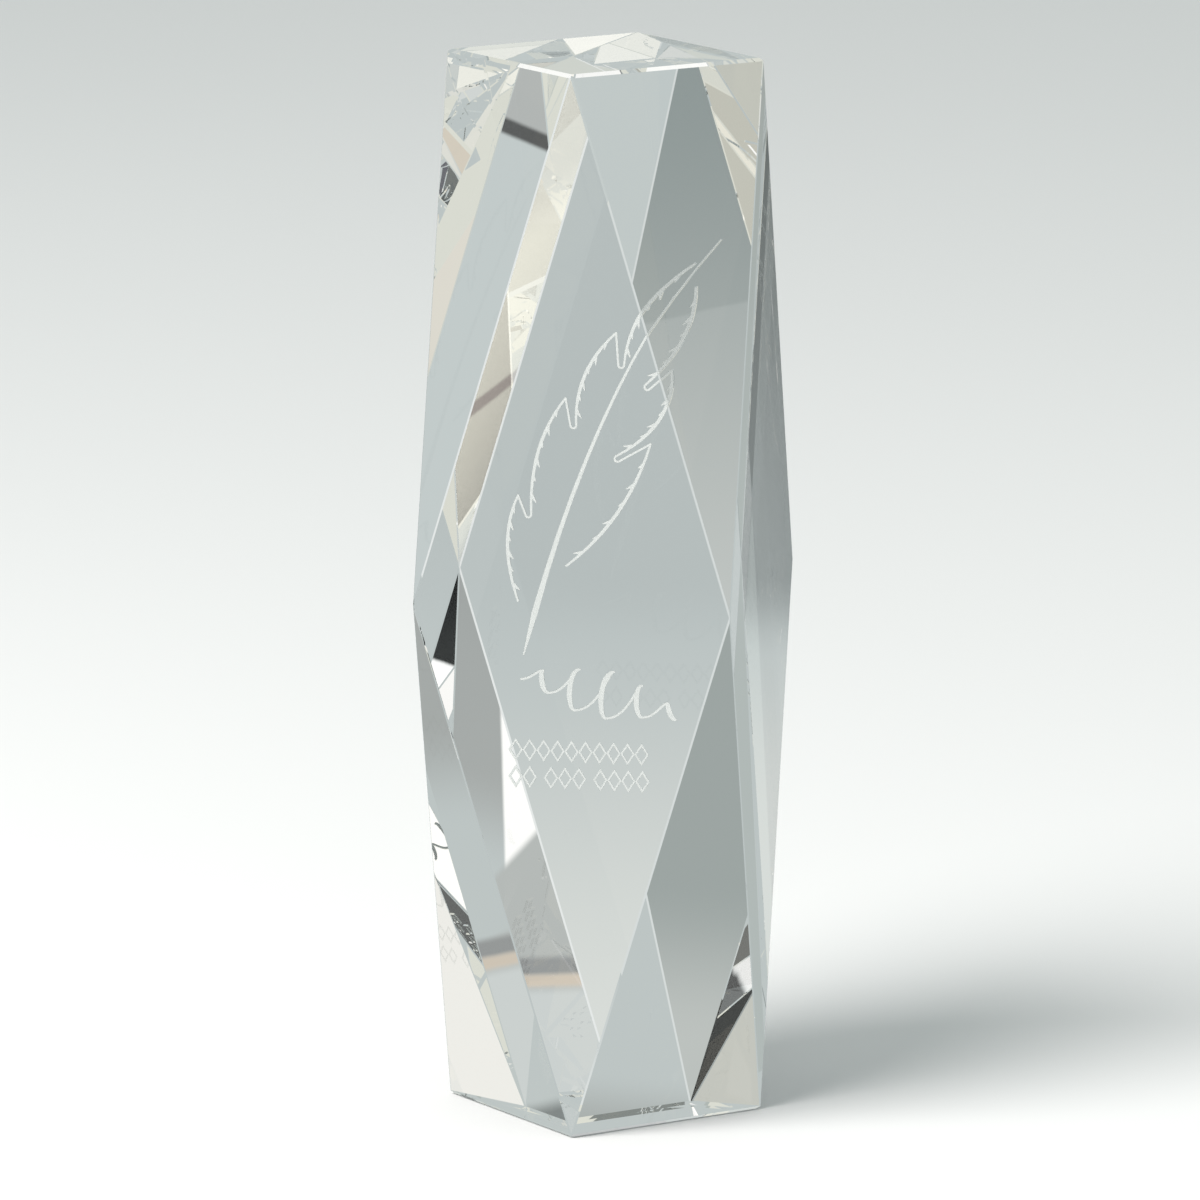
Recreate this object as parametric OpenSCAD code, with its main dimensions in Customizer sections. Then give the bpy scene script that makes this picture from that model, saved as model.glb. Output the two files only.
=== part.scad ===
// Faceted crystal tower award: a square bar whose four corners are cut back to the middle of
// each side at both ends, sand-carved with a quill, a pen flourish and two ornament rows.
// Origin: middle of the base. Z points up and the carved front faces -Y.

/* [Crystal] */
// Height of the crystal
height = 200; // [150:1:260]
// Width and depth across the four upright faces, at the waist
side = 60; // [45:1:80]
// Width of the polished flat on each edge between two side facets
edge_flat = 0.4; // [0.2:0.05:0.8]
// Width of the polished flat around the top and around the base
rim_flat = 1; // [0.4:0.1:1.6]

/* [Carving] */
// Depth of the carved strokes, square to the facet they are cut in
carve_depth = 0.3; // [0.15:0.05:0.6]
// How far the infill lies below the polished face
infill_recess = 0.02; // [0.01:0.01:0.1]
// Gap between the infill and the walls and floor of its stroke
infill_gap = 0.02; // [0.01:0.01:0.05]

/* [Artwork] */
// Width of the quill's shaft where it is widest, just above the nib
shaft_width = 1.3; // [0.6:0.1:1.6]
// Width of the line around the feather where it is finest
vane_line = 0.4; // [0.2:0.05:0.5]
// Width of the same line in the middle of each lobe
vane_swell = 0.65; // [0.4:0.05:0.8]
// Length of the small barbs on the feather's line
barb_length = 1.7; // [0.8:0.1:2.5]
// Width of the flourish's up strokes
pen_line = 0.45; // [0.2:0.05:0.5]
// Width of its down strokes
pen_swell = 1; // [0.5:0.05:1.2]
// Height of the tallest loop in the flourish
loop_height = 8.5; // [5:0.5:10]
// Line width of the lozenges in the ornament rows
lozenge_line = 0.35; // [0.25:0.05:0.6]
// Height of a lozenge
lozenge_height = 3.6; // [3:0.2:5]
// Distance from one lozenge to the next
lozenge_pitch = 2.65; // [2.4:0.05:3]

/* [Hidden] */

half_side = side / 2;
half_height = height / 2;
waist_corner_r = half_side * sqrt(2);
end_corner_r = waist_corner_r / 2;
facet_tilt = atan((waist_corner_r - end_corner_r) / half_height);
reach = 2 * (height + side);

// The artwork is drawn for this block and scaled about the waist to fit any other
drawn_height = 200;
drawn_side = 60;
art_scale = min(height / drawn_height, side / drawn_side);

// Quill, in X and Z of the drawn block: start, bend and end of each curve
quill_curve = [[-9, 91.5], [3.5, 141], [25, 168]];
left_lobes = [
    [[21.2, 164.2], [11, 157.5], [10, 146.5]],
    [[8.5, 152.5], [0.5, 145], [1, 135]],
    [[-1, 140], [-8, 131], [-7.5, 118]],
    [[-10, 121.5], [-14, 113], [-10, 101.5]]
];
right_lobes = [
    [[21.5, 160], [22, 150], [14, 143]],
    [[18.5, 145.5], [20, 136], [8.5, 129.5]],
    [[15, 132], [10.5, 117.5], [-1, 108.5]]
];
barbs_per_lobe = 6;
short_barb_share = 0.6;
barb_root = 0.8;
barb_point = 0.15;
barb_lean = 0.75;
notch_radius = 0.55;
notch_steps = 6;
nib_share = 0.07;
nib_width = 0.25;

// Flourish: where its middle line starts and ends, its slant and its number of loops
flourish_from = [-9, 88];
flourish_to = [20.5, 81.5];
flourish_slant = 0.55;
flourish_loops = 5;
smallest_loop = 0.25;
loop_swing = 0.18;

// Ornament rows: height of each row's middle, left end, and lozenges in each group
upper_row_z = 73.6;
lower_row_z = 68.5;
row_x = -10.5;
upper_groups = [10];
lower_groups = [2, 3, 4];
group_gap = 1.4;

curve_steps = 12;
joint_sides = 8;
joint_share = 1.05;

function unit(v) = v / norm(v);
function mix(a, b, t) = a + (b - a) * t;
function sum(list, count) = count == 0 ? 0 : list[count - 1] + sum(list, count - 1);
function turned(degrees, tilt) =
    [cos(degrees) * cos(tilt), sin(degrees) * cos(tilt), sin(tilt)];
function aside(way) = [-way.y, way.x];
function curve_at(c, t) = mix(mix(c[0], c[1], t), mix(c[1], c[2], t), t);
function curve_way(c, t) = unit(mix(c[1] - c[0], c[2] - c[1], t));
function curve_points(c) = [for (i = [0:curve_steps]) curve_at(c, i / curve_steps)];
function swelling(thin, thick) =
    [for (s = [0:curve_steps]) mix(thin, thick, sin(180 * s / curve_steps))];

// A cutting plane: its outward direction and its distance from the block's centre
function plane(facing, point) = [unit(facing), point * unit(facing)];
function moved_in(p, inset) = [p[0], p[1] - inset];

// The plane that breaks the edge between two faces with a flat of this width
function edge_break(face_a, face_b, edge_point, flat_width) =
    let (between = plane(face_a + face_b, edge_point))
    moved_in(between, flat_width * tan(acos(face_a * face_b) / 2) / 2);

// One corner of the block at one end: its facet, its rim flat and its two broken edges
function corner_planes(corner, end) =
    let (facet = turned(corner, end * facet_tilt),
         waist_corner = waist_corner_r * turned(corner, 0),
         rim_point = end_corner_r * turned(corner, 0) + [0, 0, end * half_height])
    [plane(facet, waist_corner),
     edge_break(facet, [0, 0, end], rim_point, rim_flat),
     edge_break(facet, turned(corner - 45, 0), waist_corner, edge_flat),
     edge_break(facet, turned(corner + 45, 0), waist_corner, edge_flat)];

block_planes = [for (corner = [45:90:315], end = [-1, 1]) each corner_planes(corner, end)];

// Everything outside a plane
module beyond(p) {
    rotate([0, -asin(p[0].z), atan2(p[0].y, p[0].x)])
        translate([p[1], -reach / 2, -reach / 2])
            cube(reach);
}

// Cuts its child by the first planes of the list, one after another
module cut_by(planes, count) {
    if (count == 0)
        children();
    else
        difference() {
            cut_by(planes, count - 1) children();
            beyond(planes[count - 1]);
        }
}

// The polished block, with every face moved inwards by inset
module faceted_block(inset = 0) {
    bar = side - 2 * inset;
    translate([0, 0, half_height])
        cut_by([for (p = block_planes) moved_in(p, inset)], len(block_planes))
            cube([bar, bar, height - 2 * inset], center = true);
}

// A stroke along a row of points, with its own width at each point
module stroke(points, widths, grow) {
    last = len(points) - 1;
    ways = [for (i = [0:last]) unit(points[min(i + 1, last)] - points[max(i - 1, 0)])];
    longer = [for (i = [0:last]) i == 0 ? -grow : i == last ? grow : 0];
    mids = [for (i = [0:last]) points[i] + longer[i] * ways[i]];
    offsets = [for (i = [0:last]) (widths[i] / 2 + grow) * aside(ways[i])];
    linear_extrude(reach)
        polygon(concat([for (i = [0:last]) mids[i] + offsets[i]],
                       [for (i = [last:-1:0]) mids[i] - offsets[i]]));
}

// A small many-sided dot that rounds the joint between two strokes
module joint(place, width, grow) {
    translate(place)
        cylinder(h = reach, d = joint_share * width + 2 * grow, $fn = joint_sides);
}

// Barbs along the inside of a lobe, short and long in turn, leaning back towards the nib
module barbs(lobe, inward, grow) {
    for (i = [1:barbs_per_lobe]) {
        t = i / (barbs_per_lobe + 1);
        root = curve_at(lobe, t);
        way = unit(curve_way(lobe, t) + barb_lean * inward * aside(curve_way(lobe, t)));
        length = barb_length * (i % 2 == 0 ? 1 : short_barb_share);
        stroke([root, root + length * way], [barb_root, barb_point], grow);
    }
}

// The notch after a lobe: half a turn outwards, then back to where the next lobe starts
function notch_points(lobe, next, inward) =
    let (way = curve_way(lobe, 1), outwards = -inward * aside(way))
    concat([for (s = [1:notch_steps])
               let (turn = 180 * s / notch_steps)
               lobe[2] + notch_radius * ((1 - cos(turn)) * outwards + sin(turn) * way)],
           [next[0]]);

// One side of the feather: lobes that swell in the middle, joined by rounded notches
module vane(lobes, inward, grow = 0) {
    last = len(lobes) - 1;
    for (i = [0:last]) {
        back = i < last ? notch_points(lobes[i], lobes[i + 1], inward) : [];
        stroke(concat(curve_points(lobes[i]), back),
               concat(swelling(vane_line, vane_swell), [for (p = back) vane_line]), grow);
        barbs(lobes[i], inward, grow);
        if (i > 0)
            joint(lobes[i][0], vane_line, grow);
    }
}

// The shaft's width: quickly up from the nib, then slowly down to the tip
function shaft_width_at(t) =
    t < nib_share
        ? mix(nib_width, shaft_width, t / nib_share)
        : mix(shaft_width, nib_width, sqrt((t - nib_share) / (1 - nib_share)));

module shaft(grow = 0) {
    stroke(curve_points(quill_curve),
           [for (s = [0:curve_steps]) shaft_width_at(s / curve_steps)], grow);
}

// Turning points of the pen, low and high in turn, tallest in the middle
function loop_at(share) = loop_height * mix(smallest_loop, 1, pow(sin(180 * share), 2));
function pen_turn(i) =
    let (share = i / (2 * flourish_loops), rise = (i % 2 - 0.5) * loop_at(share))
    mix(flourish_from, flourish_to, share) + rise * [flourish_slant, 1];

// The pen's way from one turn to the next: it swings right going up and left going down
function pen_points(a, b) =
    [for (s = [0:curve_steps])
        let (t = s / curve_steps)
        [mix(a.x, b.x, t) + loop_swing * (b.y - a.y) * sin(180 * t),
         mix(a.y, b.y, (1 - cos(180 * t)) / 2)]];

module flourish(grow = 0) {
    last = 2 * flourish_loops - 1;
    for (i = [0:last]) {
        swell = i % 2 == 0 ? pen_line : pen_swell;
        stroke(pen_points(pen_turn(i), pen_turn(i + 1)), swelling(pen_line, swell), grow);
        if (i > 0)
            joint(pen_turn(i), pen_line, grow);
    }
}

// A lozenge drawn with one line
module lozenge(grow) {
    half_w = (lozenge_pitch - lozenge_line) / 2;
    half_h = lozenge_height / 2;
    to_side = half_w * half_h / norm([half_w, half_h]);
    wider = (lozenge_line / 2 + grow) / to_side;
    linear_extrude(reach) difference() {
        lozenge_face(half_w * (1 + wider), half_h * (1 + wider));
        lozenge_face(half_w * (1 - wider), half_h * (1 - wider));
    }
}

module lozenge_face(w, h) {
    polygon([[-w, 0], [0, -h], [w, 0], [0, h]]);
}

module ornament_row(groups, row_z, grow = 0) {
    for (g = [0:len(groups) - 1], i = [0:groups[g] - 1])
        translate([row_x + (sum(groups, g) + i) * lozenge_pitch + g * group_gap, row_z, 0])
            lozenge(grow);
}

// Stands a drawing up inside the front half of the block, scaled about the waist
module stood_up() {
    translate([0, 0, half_height])
        rotate([90, 0, 0])
            scale(art_scale)
                translate([0, -drawn_height / 2, 0])
                    children();
}

// The strokes as they are cut out of the block
module carving() {
    grow = infill_gap / art_scale;
    difference() {
        stood_up() {
            shaft(grow);
            vane(left_lobes, 1, grow);
            vane(right_lobes, -1, grow);
            flourish(grow);
            ornament_row(upper_groups, upper_row_z, grow);
            ornament_row(lower_groups, lower_row_z, grow);
        }
        faceted_block(carve_depth);
    }
}

// A drawing's infill, clear of the walls and the floor of its strokes
module infill() {
    color("whitesmoke") intersection() {
        faceted_block(infill_recess);
        difference() {
            stood_up() children();
            faceted_block(carve_depth - infill_gap);
        }
    }
}

module crystal() {
    color("azure", 0.4) difference() {
        faceted_block();
        carving();
    }
}

module quill_shaft() infill() shaft();
module left_vane() infill() vane(left_lobes, 1);
module right_vane() infill() vane(right_lobes, -1);
module pen_flourish() infill() flourish();
module upper_ornament_row() infill() ornament_row(upper_groups, upper_row_z);
module lower_ornament_row() infill() ornament_row(lower_groups, lower_row_z);

crystal();
quill_shaft();
left_vane();
right_vane();
pen_flourish();
upper_ornament_row();
lower_ornament_row();
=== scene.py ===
"""Crystal tower award: the looks of the assembly, over the shared frame."""
import math
import bpy
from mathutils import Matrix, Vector


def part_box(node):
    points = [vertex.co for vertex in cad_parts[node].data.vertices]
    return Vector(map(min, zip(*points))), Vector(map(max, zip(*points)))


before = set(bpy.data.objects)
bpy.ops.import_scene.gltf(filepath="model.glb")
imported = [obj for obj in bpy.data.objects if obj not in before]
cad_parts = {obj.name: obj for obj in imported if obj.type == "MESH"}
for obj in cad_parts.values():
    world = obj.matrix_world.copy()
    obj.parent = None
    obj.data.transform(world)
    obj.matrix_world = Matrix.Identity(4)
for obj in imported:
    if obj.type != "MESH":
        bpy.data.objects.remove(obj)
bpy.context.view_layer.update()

CRYSTAL = "crystal"
INFILL = ["quill_shaft", "left_vane", "right_vane", "pen_flourish",
          "upper_ornament_row", "lower_ornament_row"]


def compass(az, el):
    """Unit vector of a direction: az 0 is toward the camera side, 90 is +X, el is up."""
    a, e = math.radians(az), math.radians(el)
    return Vector((math.sin(a) * math.cos(e), -math.cos(a) * math.cos(e), math.sin(e)))


# ---------------------------------------------------------------- node helpers
def node(tree, kind, **settings):
    n = tree.nodes.new(kind)
    for key, value in settings.items():
        setattr(n, key, value)
    return n


def math_node(tree, operation, *values):
    n = node(tree, "ShaderNodeMath", operation=operation)
    for socket, value in zip(n.inputs, values):
        if isinstance(value, (int, float)):
            socket.default_value = value
        else:
            tree.links.new(value, socket)
    return n.outputs[0]


def dot(tree, vector, direction):
    n = node(tree, "ShaderNodeVectorMath", operation="DOT_PRODUCT")
    tree.links.new(vector, n.inputs[0])
    n.inputs[1].default_value = direction
    return n.outputs["Value"]


def ramp_up(tree, value, low, high):
    n = node(tree, "ShaderNodeMapRange", interpolation_type="SMOOTHSTEP", clamp=True)
    tree.links.new(value, n.inputs["Value"])
    n.inputs["From Min"].default_value = low
    n.inputs["From Max"].default_value = high
    return n.outputs["Result"]


def mix(tree, factor, a, b):
    """Colour a where factor is 0 and b where it is 1; each is a tuple or a socket."""
    n = node(tree, "ShaderNodeMix", data_type="RGBA")
    tree.links.new(factor, n.inputs["Factor"])
    for socket, value in ((n.inputs["A"], a), (n.inputs["B"], b)):
        if isinstance(value, tuple):
            socket.default_value = (*value, 1.0)
        else:
            tree.links.new(value, socket)
    return n.outputs["Result"]


# ---------------------------------------------------------------- world
# Light from everywhere that no panel covers, level and below, and the heights it changes at
BASE = (0.50, 0.55, 0.545)
BELOW = (0.72, 0.73, 0.65)
BELOW_STARTS, BELOW_FULL = -20, -30

# The cards, flags and soft boxes that stand round the crystal, in the order they cover one
# another: name, (az, el of the middle), (half width, half height), blur of the edge, turn,
# all in degrees, then the light's colour.
PANELS = [
    # round the other three sides, a bright sweep, a shade and a strip each
    ("left side, sweep", (-78, -25), (16, 8), 7, 0, (0.66, 0.69, 0.67)),
    ("left side, shade", (-66, -6), (7, 8), 5, 0, (0.30, 0.335, 0.325)),
    ("left side, strip", (-79, -9), (1.8, 9), 0.6, 0, (0.80, 0.83, 0.82)),
    ("front side, sweep", (15, -25), (24, 8), 7, 0, (0.66, 0.69, 0.67)),
    ("front side, shade", (35, -5), (8, 8), 5, 0, (0.30, 0.335, 0.325)),
    ("front side, strip", (12, -9), (1.8, 9), 0.6, 0, (0.80, 0.83, 0.82)),
    ("right side, sweep", (95, -25), (20, 8), 7, 0, (0.66, 0.69, 0.67)),
    ("right side, shade", (112, -5), (8, 8), 5, 0, (0.30, 0.335, 0.325)),
    ("right side, strip", (101, -9), (1.8, 9), 0.6, 0, (0.80, 0.83, 0.82)),

    # behind the crystal, seen straight through it
    ("sweep behind", (-175, -22), (22, 7), 3, 0, (0.545, 0.60, 0.595)),
    ("sweep behind, lower", (-168, -15.2), (5, 3.0), 2.4, 0, (0.69, 0.72, 0.69)),
    ("shade behind", (168.8, -6), (4, 3), 4, 0, (0.20, 0.22, 0.21)),
    ("edge strip behind", (180, -9), (2.6, 8), 0.6, 0, (0.80, 0.83, 0.82)),
    ("edge strip left of it", (-155.3, -11), (1.8, 13), 0.6, 0, (0.68, 0.72, 0.71)),
    ("wing", (-140, -11), (8, 12), 2, 0, (0.51, 0.54, 0.52)),
    ("wing shade, high", (-140, -1), (8, 4.45), 0.9, 0, (0.31, 0.35, 0.34)),
    ("wing shade, low", (-140, -12), (8, 4.8), 3.8, 0, (0.27, 0.315, 0.31)),
    ("wing edge", (-126, -11), (6, 12), 2, 0, (0.40, 0.445, 0.425)),
    ("far left card", (-101.5, 15), (3, 4), 1, 0, (0.54, 0.55, 0.50)),

    # behind to the right: the shallow view through the lower left facets
    ("right behind, shade", (160.9, 0), (3.5, 2.6), 0.6, 0, (0.35, 0.37, 0.36)),
    ("right behind, white", (159.5, -1.8), (0.95, 1.2), 0.04, 0, (1.10, 1.10, 1.07)),
    ("right behind, cover", (159.6, -4.2), (2.6, 1.6), 0.06, -35, (0.44, 0.465, 0.45)),
    ("right behind, dark line", (160.7, -3.44), (3, 0.05), 0.05, -8, (0.26, 0.27, 0.27)),
    ("right behind, amber line", (160.7, -3.52), (3, 0.035), 0.04, -8, (0.62, 0.54, 0.44)),
    ("right behind, lower", (160.7, -5.0), (3, 1.42), 0.08, -8, (0.60, 0.64, 0.63)),
    ("far sweep, upper", (162.45, -16.4), (1.6, 0.8), 0.04, 25, (0.43, 0.45, 0.44)),
    ("far sweep, dark line", (162.8, -17.1), (1.6, 0.04), 0.03, 25, (0.05, 0.05, 0.05)),
    ("warm card", (147, -22.5), (4, 4), 1.5, 0, (0.95, 0.93, 0.82)),
    ("warm card, core", (147, -23.2), (2.5, 1.8), 0.6, 0, (1.28, 1.25, 1.08)),
    ("warm card, seam", (147, -22.8), (3, 0.06), 0.05, 0, (0.72, 0.64, 0.58)),
    ("beige card, shade", (-105, -37.6), (7, 4), 3, 0, (0.55, 0.56, 0.50)),
    ("beige card, bright", (143, -28.6), (4, 2.2), 0.5, 0, (0.86, 0.84, 0.73)),
    ("beige card, corner", (-36.6, -28.2), (4, 2), 1, 0, (0.56, 0.56, 0.49)),
    ("rim card", (168.2, -48.4), (3, 3), 1, 0, (1.05, 1.05, 1.02)),
    ("rim card, left", (-137.7, -41.7), (3, 3), 1, 0, (1.05, 1.05, 1.02)),
    ("foot shade", (-167, -0.4), (4, 1.2), 0.3, 0, (0.38, 0.41, 0.40)),
    ("foot shade, left", (-169.8, 3.7), (0.7, 0.55), 0.1, 0, (0.15, 0.17, 0.17)),
    ("foot shade, low", (154.6, -55.7), (3, 3), 1, 0, (0.19, 0.21, 0.20)),

    # in front, seen by reflection inside the crystal
    ("front flag", (-11.2, -6), (5, 5.0), 0.5, 0, (0.06, 0.07, 0.07)),
    ("front sweep", (-11.2, -15.5), (5, 4), 1.3, 0, (0.80, 0.80, 0.76)),
    ("front flag, low", (21, -51.2), (3, 3), 1, 0, (0.38, 0.38, 0.33)),
    ("left flag, low", (-58, -43), (4, 4), 1, 0, (0.30, 0.30, 0.27)),
    ("right flag, low", (83, -40.5), (6, 4), 1.5, 0, (0.05, 0.05, 0.05)),
    ("right card, low", (58, -37), (5, 4), 1.5, 0, (0.74, 0.71, 0.63)),
    ("right card, lower", (86.7, -35.6), (4, 1.6), 0.4, 0, (1.15, 1.13, 1.04)),
    ("left soft box, low", (-74, -52.5), (6, 4), 1.5, 0, (1.35, 1.31, 1.20)),
    ("left flag, lower", (-81.8, -45), (2, 2), 0.3, 0, (0.09, 0.09, 0.11)),
    ("front card, low", (0, -64.5), (1.9, 3), 0.3, 0, (1.12, 1.10, 1.0)),
    ("front right card, low", (45, -46.5), (5, 3), 1, 0, (1.10, 1.08, 0.98)),
    ("side flag", (53, -16), (3, 3), 1, 0, (0.08, 0.09, 0.09)),
    ("side card", (53, -5), (3, 3), 1, 0, (0.76, 0.84, 0.81)),

    # above
    ("soft box", (-36, 36), (6, 8), 2, 0, (1.15, 1.13, 1.08)),
    ("soft box, right", (-23, 34), (3, 5), 1, 0, (1.0, 0.99, 0.96)),
    ("top card", (-79, 50), (8, 6), 2, 0, (0.95, 0.95, 0.86)),
    ("high card", (-20, 50), (6, 5), 1.5, 0, (0.85, 0.84, 0.80)),
    ("right card", (75, 26), (8, 5.5), 1.2, 0, (0.90, 0.89, 0.84)),
    ("right card, upper", (122, 38), (4, 3), 1, 0, (0.76, 0.76, 0.69)),
    ("warm ceiling", (-143, 68), (6, 5), 2, 0, (0.66, 0.60, 0.50)),
    ("right flag", (77, 12.9), (4, 2.15), 0.03, 0, (0.0, 0.0, 0.0)),
    ("right card, under it", (77, 9.6), (4, 1.15), 0.03, 0, (1.1, 1.1, 1.08)),
    ("left flag, high", (-11.5, 29.5), (6.5, 3.5), 0.3, 0, (0.0, 0.0, 0.0)),
    ("left flag, far", (-21, 27.9), (2.0, 1.2), 0.1, 0, (0.02, 0.02, 0.02)),
    ("front flag, high", (47.8, 19.6), (3, 2.5), 0.5, 0, (0.13, 0.13, 0.12)),
    ("right flag, high", (110.8, 40.5), (3.5, 3), 0.5, 0, (0.06, 0.06, 0.06)),
    ("left flag, side", (-97, 8), (3, 2.5), 0.5, 0, (0.13, 0.15, 0.16)),
    ("left flag, rear", (-124.8, 27.1), (2.5, 1.5), 0.3, 0, (0.08, 0.09, 0.09)),
    ("left card, rear", (-147.5, 30.8), (3, 2.5), 0.5, 0, (0.74, 0.74, 0.68)),
    ("left card, rear high", (-153, 44), (4, 3), 0.5, 0, (0.74, 0.74, 0.68)),
    ("left card, top", (-122.5, 49.5), (4, 3), 0.5, 0, (0.74, 0.74, 0.68)),
    ("rim card, high", (-137.1, 41.6), (3, 3), 1, 0, (1.0, 1.0, 0.98)),
    ("rim card, base", (-175.9, 36.2), (3, 3), 1, 0, (0.42, 0.44, 0.45)),
    ("flag behind, high", (159.3, 27.4), (3, 1.5), 0.05, 0, (0.07, 0.07, 0.07)),
    ("card behind, high", (159.3, 30.2), (3, 1.3), 0.05, 0, (1.0, 1.0, 0.98)),
]

# A panel shows only on its own side of the sky: the least cosine between it and a ray
PANEL_REACH = 0.1


def panel(tree, direction, colour_in, entry):
    """Lays one panel over the light that is already there."""
    name, middle, half_size, blur, turn, colour = entry
    facing = compass(*middle)
    across = compass(middle[0] + 90, 0)
    upward = compass(middle[0], middle[1] + 90)
    c, s = math.cos(math.radians(turn)), math.sin(math.radians(turn))
    depth = dot(tree, direction, facing)
    factor = math_node(tree, "GREATER_THAN", depth, PANEL_REACH)
    soft = math.tan(math.radians(blur)) / 2
    for axis, half in ((across * c + upward * s, half_size[0]),
                       (upward * c - across * s, half_size[1])):
        slope = math_node(tree, "DIVIDE", dot(tree, direction, axis), depth)
        edge = math.tan(math.radians(half))
        inside = ramp_up(tree, math_node(tree, "ABSOLUTE", slope), edge + soft, edge - soft)
        factor = math_node(tree, "MULTIPLY", factor, inside)
    return mix(tree, factor, colour_in, colour)


# The world is cut along these planes (axis, height of the cut), so that a ray only works
# through the panels on its own side of each.
CUTS = [((0, 0, 1), 0.2), ((0, 1, 0), 0.0), ((1, 0, 0), 0.0)]


def reaches(entry, axis, level, side):
    """Whether any of a panel lies on that side of a cut."""
    middle, half_size, blur = entry[1:4]
    radius = math.radians(math.hypot(*half_size) + blur)
    return side * (compass(*middle).dot(Vector(axis)) - level) > -radius


def sky(tree, direction, panels):
    height = dot(tree, direction, (0, 0, 1))
    low = ramp_up(tree, height, math.sin(math.radians(BELOW_STARTS)),
                  math.sin(math.radians(BELOW_FULL)))
    colour = mix(tree, low, BASE, BELOW)
    for entry in panels:
        colour = panel(tree, direction, colour, entry)
    background = node(tree, "ShaderNodeBackground")
    tree.links.new(colour, background.inputs["Color"])
    return background.outputs[0]


def surroundings(tree, direction, cuts, panels):
    if not cuts:
        return sky(tree, direction, panels)
    axis, level = cuts[0]
    chooser = node(tree, "ShaderNodeMixShader")
    beyond = math_node(tree, "GREATER_THAN", dot(tree, direction, axis), level)
    tree.links.new(beyond, chooser.inputs["Fac"])
    for socket, side in ((1, -1), (2, 1)):
        near = [entry for entry in panels if reaches(entry, axis, level, side)]
        shade = surroundings(tree, direction, cuts[1:], near)
        tree.links.new(shade, chooser.inputs[socket])
    return chooser.outputs[0]


# Side of the map that Cycles samples the world from; finding its own took half a minute
SAMPLE_MAP = 256


def studio_world(scene):
    world = bpy.data.worlds.new("studio")
    scene.world = world
    world.use_nodes = True
    tree = world.node_tree
    tree.nodes.clear()
    coordinate = node(tree, "ShaderNodeTexCoord")
    shade = surroundings(tree, coordinate.outputs["Generated"], CUTS, PANELS)
    output = node(tree, "ShaderNodeOutputWorld")
    tree.links.new(shade, output.inputs["Surface"])
    world.cycles.sampling_method = "MANUAL"
    world.cycles.sample_map_resolution = SAMPLE_MAP


# ---------------------------------------------------------------- materials
def new_material(name):
    material = bpy.data.materials.new(name)
    material.use_nodes = True
    return material, material.node_tree, material.node_tree.nodes["Principled BSDF"]


def object_noise(tree, scale, detail=2.0):
    coordinate = node(tree, "ShaderNodeTexCoord")
    noise = node(tree, "ShaderNodeTexNoise")
    noise.inputs["Scale"].default_value = scale
    noise.inputs["Detail"].default_value = detail
    tree.links.new(coordinate.outputs["Object"], noise.inputs["Vector"])
    return noise.outputs["Fac"]


def bumped(tree, shader, height, strength, distance):
    bump = node(tree, "ShaderNodeBump")
    bump.inputs["Strength"].default_value = strength
    bump.inputs["Distance"].default_value = distance
    tree.links.new(height, bump.inputs["Height"])
    tree.links.new(bump.outputs["Normal"], shader.inputs["Normal"])


# Clear glass; its faces are polished flat, with hardly any waviness left
CRYSTAL_IOR = 1.52
WAVINESS_SCALE = 60.0
WAVINESS = 0.0006
WAVINESS_DEPTH = 0.001


def crystal_glass():
    material, tree, shader = new_material("optical_crystal")
    shader.inputs["Base Color"].default_value = (1, 1, 1, 1)
    shader.inputs["Roughness"].default_value = 0.0
    shader.inputs["IOR"].default_value = CRYSTAL_IOR
    shader.inputs["Transmission Weight"].default_value = 1.0
    bumped(tree, shader, object_noise(tree, WAVINESS_SCALE), WAVINESS, WAVINESS_DEPTH)
    return material


# The pale frost that fills the carving
FROST_DARK = (0.50, 0.52, 0.51)
FROST_LIGHT = (0.60, 0.62, 0.61)
FROST_ROUGHNESS = 0.85
FROST_SCALE = 3000.0
FROST_DETAIL = 4.0
FROST_BUMP = 0.3
FROST_DEPTH = 0.00002


def frosted():
    material, tree, shader = new_material("frosted_infill")
    grain = object_noise(tree, FROST_SCALE, FROST_DETAIL)
    tree.links.new(mix(tree, grain, FROST_DARK, FROST_LIGHT), shader.inputs["Base Color"])
    shader.inputs["Roughness"].default_value = FROST_ROUGHNESS
    bumped(tree, shader, grain, FROST_BUMP, FROST_DEPTH)
    return material


# The studio's pale paper floor
PAPER_DARK = (0.79, 0.79, 0.79)
PAPER_LIGHT = (0.83, 0.83, 0.83)
PAPER_SCALE = 1.2
PAPER_ROUGHNESS = 0.9
PAPER_SPECULAR = 0.1


def floor_paper():
    material, tree, shader = new_material("floor_paper")
    broad = object_noise(tree, PAPER_SCALE, 1.0)
    tree.links.new(mix(tree, broad, PAPER_DARK, PAPER_LIGHT), shader.inputs["Base Color"])
    shader.inputs["Roughness"].default_value = PAPER_ROUGHNESS
    shader.inputs["Specular IOR Level"].default_value = PAPER_SPECULAR
    return material


def put_on(name, material):
    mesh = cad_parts[name].data
    mesh.materials.clear()
    mesh.materials.append(material)


# ---------------------------------------------------------------- stage
FLOOR_SIZE = 30.0
FLOOR_DROP = 0.0001


def floor():
    bpy.ops.mesh.primitive_plane_add(size=FLOOR_SIZE, location=(0, 0, -FLOOR_DROP))
    plane = bpy.context.object
    plane.name = "floor"
    plane.data.materials.append(floor_paper())
    # The crystal shows only the studio's panels; the camera still sees the floor round it
    plane.visible_transmission = False
    plane.visible_glossy = False


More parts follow.
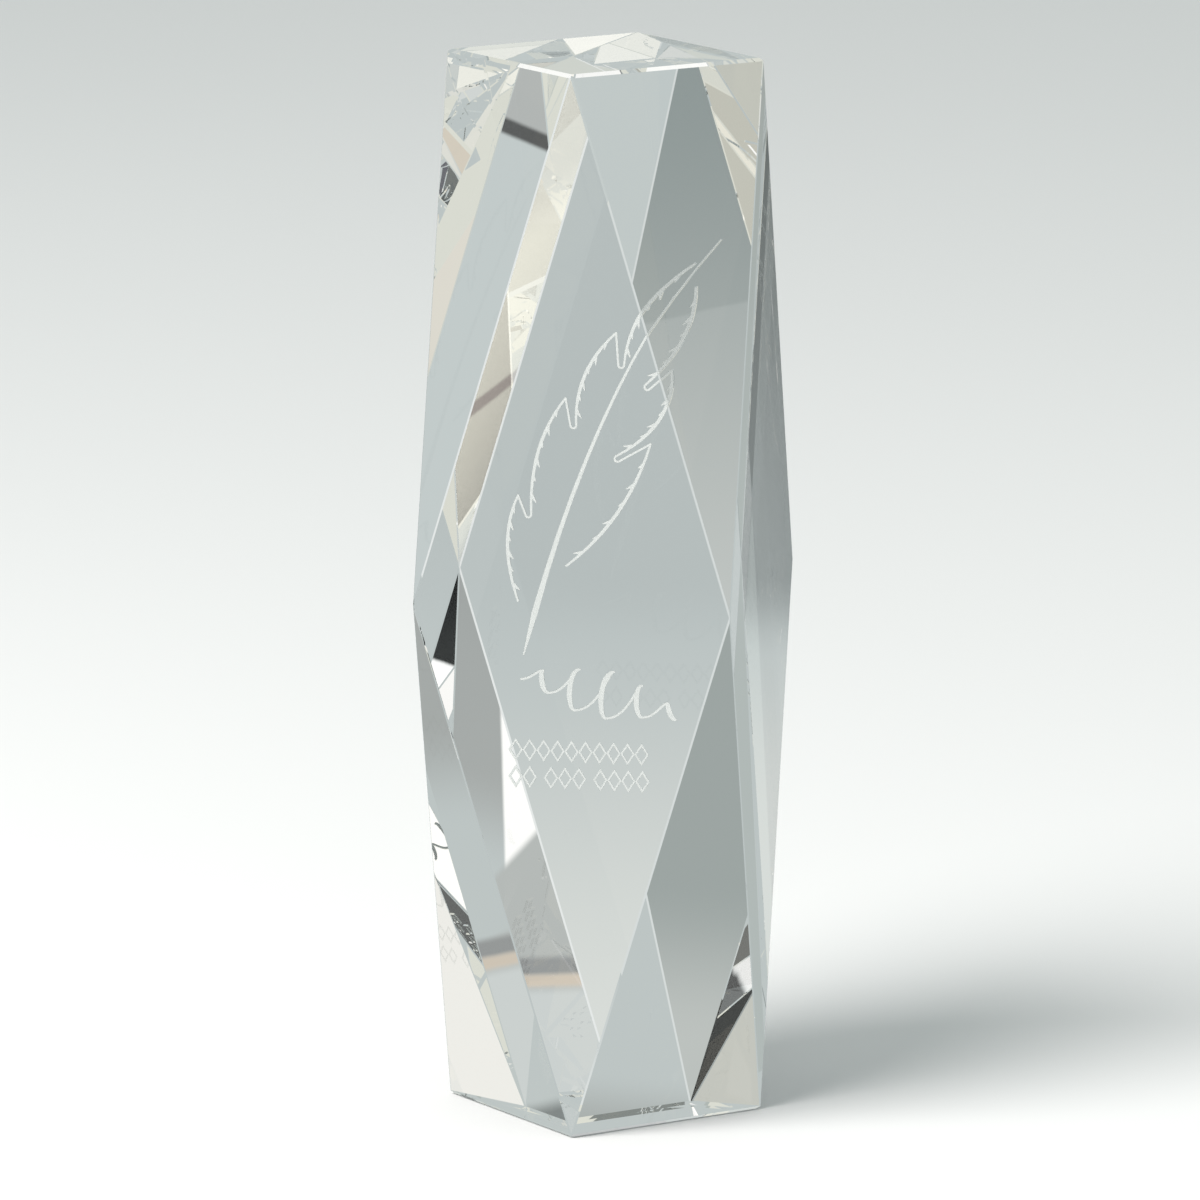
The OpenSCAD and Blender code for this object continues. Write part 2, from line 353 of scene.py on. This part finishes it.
# The soft key light: direction, distance and width in metres, power in watts
KEY_AZ, KEY_EL = -36, 50
KEY_DISTANCE = 2.0
KEY_WIDTH = 1.2
KEY_POWER = 45.0
KEY_COLOUR = (1.0, 0.97, 0.95)


def key_light(scene):
    light = bpy.data.lights.new("key", "AREA")
    light.shape = "DISK"
    light.size = KEY_WIDTH
    light.energy = KEY_POWER
    light.color = KEY_COLOUR
    lamp = bpy.data.objects.new("key", light)
    scene.collection.objects.link(lamp)
    toward = compass(KEY_AZ, KEY_EL)
    lamp.location = toward * KEY_DISTANCE
    lamp.rotation_mode = "QUATERNION"
    lamp.rotation_quaternion = toward.to_track_quat("Z", "Y")
    lamp.visible_transmission = False
    lamp.visible_glossy = False


# The camera: where it stands from the middle of the award, and its long lens in millimetres
CAMERA_AZ, CAMERA_EL = 12.1, 10.8
CAMERA_DISTANCE = 1.95
SENSOR_WIDTH = 36
LENS = 312
SHIFT_X, SHIFT_Y = -0.00417, -0.015
CLIP_START, CLIP_END = 0.1, 100


def camera(scene, height):
    back = compass(CAMERA_AZ, CAMERA_EL)
    data = bpy.data.cameras.new("camera")
    cam = bpy.data.objects.new("camera", data)
    scene.collection.objects.link(cam)
    cam.location = Vector((0, 0, height / 2)) + back * CAMERA_DISTANCE
    cam.rotation_mode = "QUATERNION"
    cam.rotation_quaternion = (-back).to_track_quat("-Z", "Y")
    data.sensor_width = SENSOR_WIDTH
    data.lens = LENS
    data.shift_x = SHIFT_X
    data.shift_y = SHIFT_Y
    data.clip_start = CLIP_START
    data.clip_end = CLIP_END
    scene.camera = cam


# Light is mirrored many times between the facets, and a path that is cut short shows black
BOUNCES = 64


def light_paths(scene):
    scene.cycles.max_bounces = BOUNCES
    scene.cycles.transmission_bounces = BOUNCES
    scene.cycles.glossy_bounces = BOUNCES


put_on(CRYSTAL, crystal_glass())
infill = frosted()
for name in INFILL:
    put_on(name, infill)

scene = bpy.context.scene
studio_world(scene)
floor()
camera(scene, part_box(CRYSTAL)[1][2])
key_light(scene)
light_paths(scene)
scene.view_settings.view_transform = "Standard"
